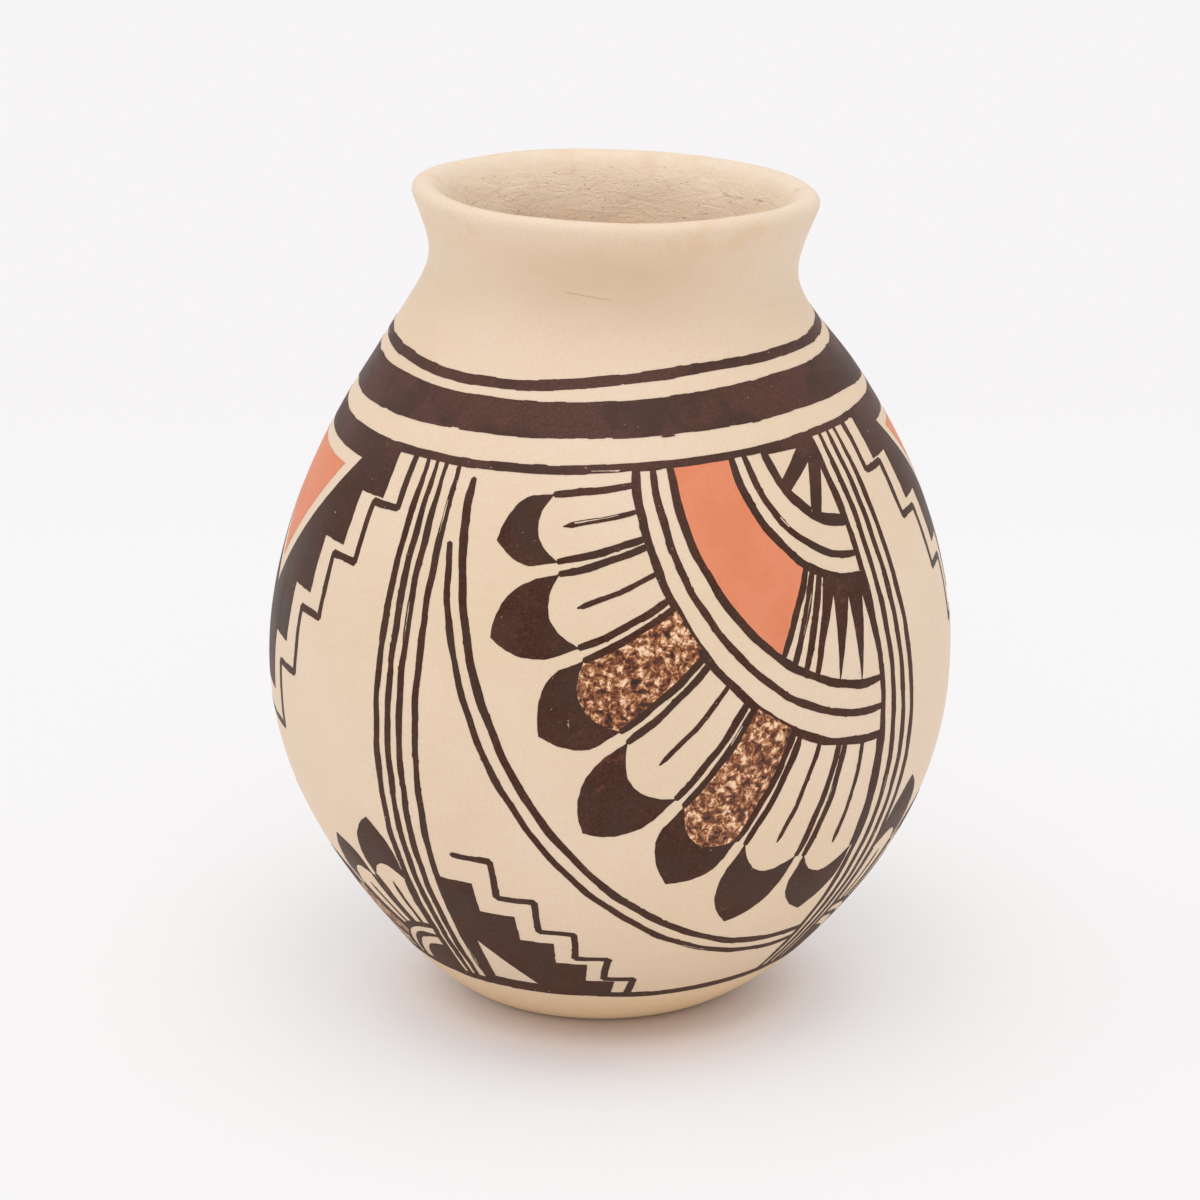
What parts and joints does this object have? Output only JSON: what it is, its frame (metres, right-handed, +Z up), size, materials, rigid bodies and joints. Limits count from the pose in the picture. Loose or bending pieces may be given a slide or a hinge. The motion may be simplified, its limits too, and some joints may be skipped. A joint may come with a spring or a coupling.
{
  "type": "clay pot",
  "caption": "Hand-built, painted clay jar with a rounded belly, narrow neck and flared lip, open at the top and standing on a small flat foot.",
  "frame": {"origin": "middle of the jar's footprint box, on the flat foot that it stands on", "axes": "+Z up along the jar's axis, -Y towards the painted face seen in the picture"},
  "size_m": [0.1306, 0.1296, 0.1566],
  "materials": {
    "fired_clay": "matt, stone-polished slip outside and bare smoothed clay inside",
    "dark_paint": "matt mineral paint, fired on",
    "red_paint": "matt clay slip, fired on",
    "brown_stipple": "matt mineral paint, dabbed on"
  },
  "bodies": {
    "root": {"jar_body": "fired_clay"}
  },
  "joints": []
}
